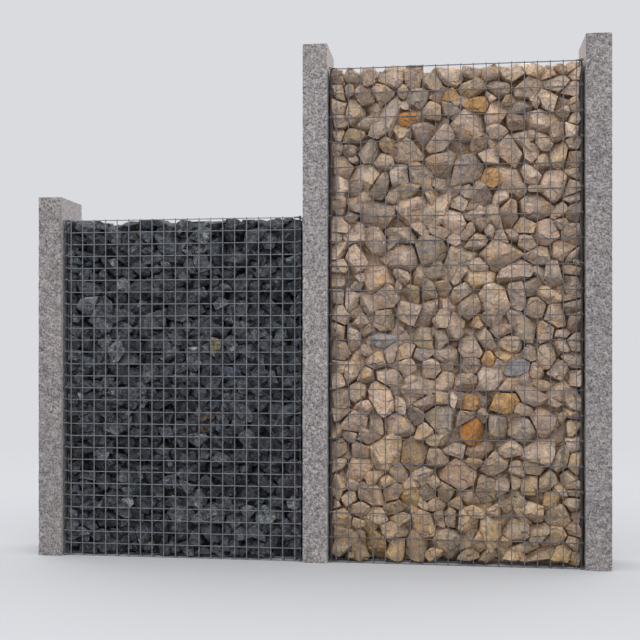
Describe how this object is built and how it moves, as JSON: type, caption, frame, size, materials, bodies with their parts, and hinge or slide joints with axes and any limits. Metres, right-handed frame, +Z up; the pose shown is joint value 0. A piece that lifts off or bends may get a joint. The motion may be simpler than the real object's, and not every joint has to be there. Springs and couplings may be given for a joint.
{
  "type": "gabion wall",
  "caption": "Gabion wall of a low and a tall stone-filled wire mesh basket standing between granite posts.",
  "frame": {"origin": "on the ground, at the middle of the wall's length and thickness", "axes": "+X along the wall from the low bay to the tall bay, +Y from the front of the wall to its back, +Z up"},
  "size_m": [2.34, 0.25, 2.1],
  "materials": {
    "split_granite": "rough split, speckled grey",
    "dark_basalt": "broken stone, matte",
    "tan_limestone": "broken stone, matte",
    "low_bay_wire": "galvanised",
    "tall_bay_wire": "galvanised, weathered dull"
  },
  "bodies": {
    "root": {"dark_stone_fill": "dark_basalt", "left_post": "split_granite", "low_bay_back_left_rod": "low_bay_wire", "low_bay_back_right_rod": "low_bay_wire", "low_bay_back_rows": "low_bay_wire", "low_bay_back_uprights": "low_bay_wire", "low_bay_base_mesh": "low_bay_wire", "low_bay_front_left_rod": "low_bay_wire", "low_bay_front_right_rod": "low_bay_wire", "low_bay_front_rows": "low_bay_wire", "low_bay_front_uprights": "low_bay_wire", "low_bay_left_end_mesh": "low_bay_wire", "low_bay_right_end_mesh": "low_bay_wire", "middle_post": "split_granite", "right_post": "split_granite", "tall_bay_back_left_rod": "tall_bay_wire", "tall_bay_back_right_rod": "tall_bay_wire", "tall_bay_back_rows": "tall_bay_wire", "tall_bay_back_uprights": "tall_bay_wire", "tall_bay_base_mesh": "tall_bay_wire", "tall_bay_front_left_rod": "tall_bay_wire", "tall_bay_front_right_rod": "tall_bay_wire", "tall_bay_front_rows": "tall_bay_wire", "tall_bay_front_uprights": "tall_bay_wire", "tall_bay_left_end_mesh": "tall_bay_wire", "tall_bay_right_end_mesh": "tall_bay_wire", "tan_stone_fill": "tan_limestone"}
  },
  "joints": []
}
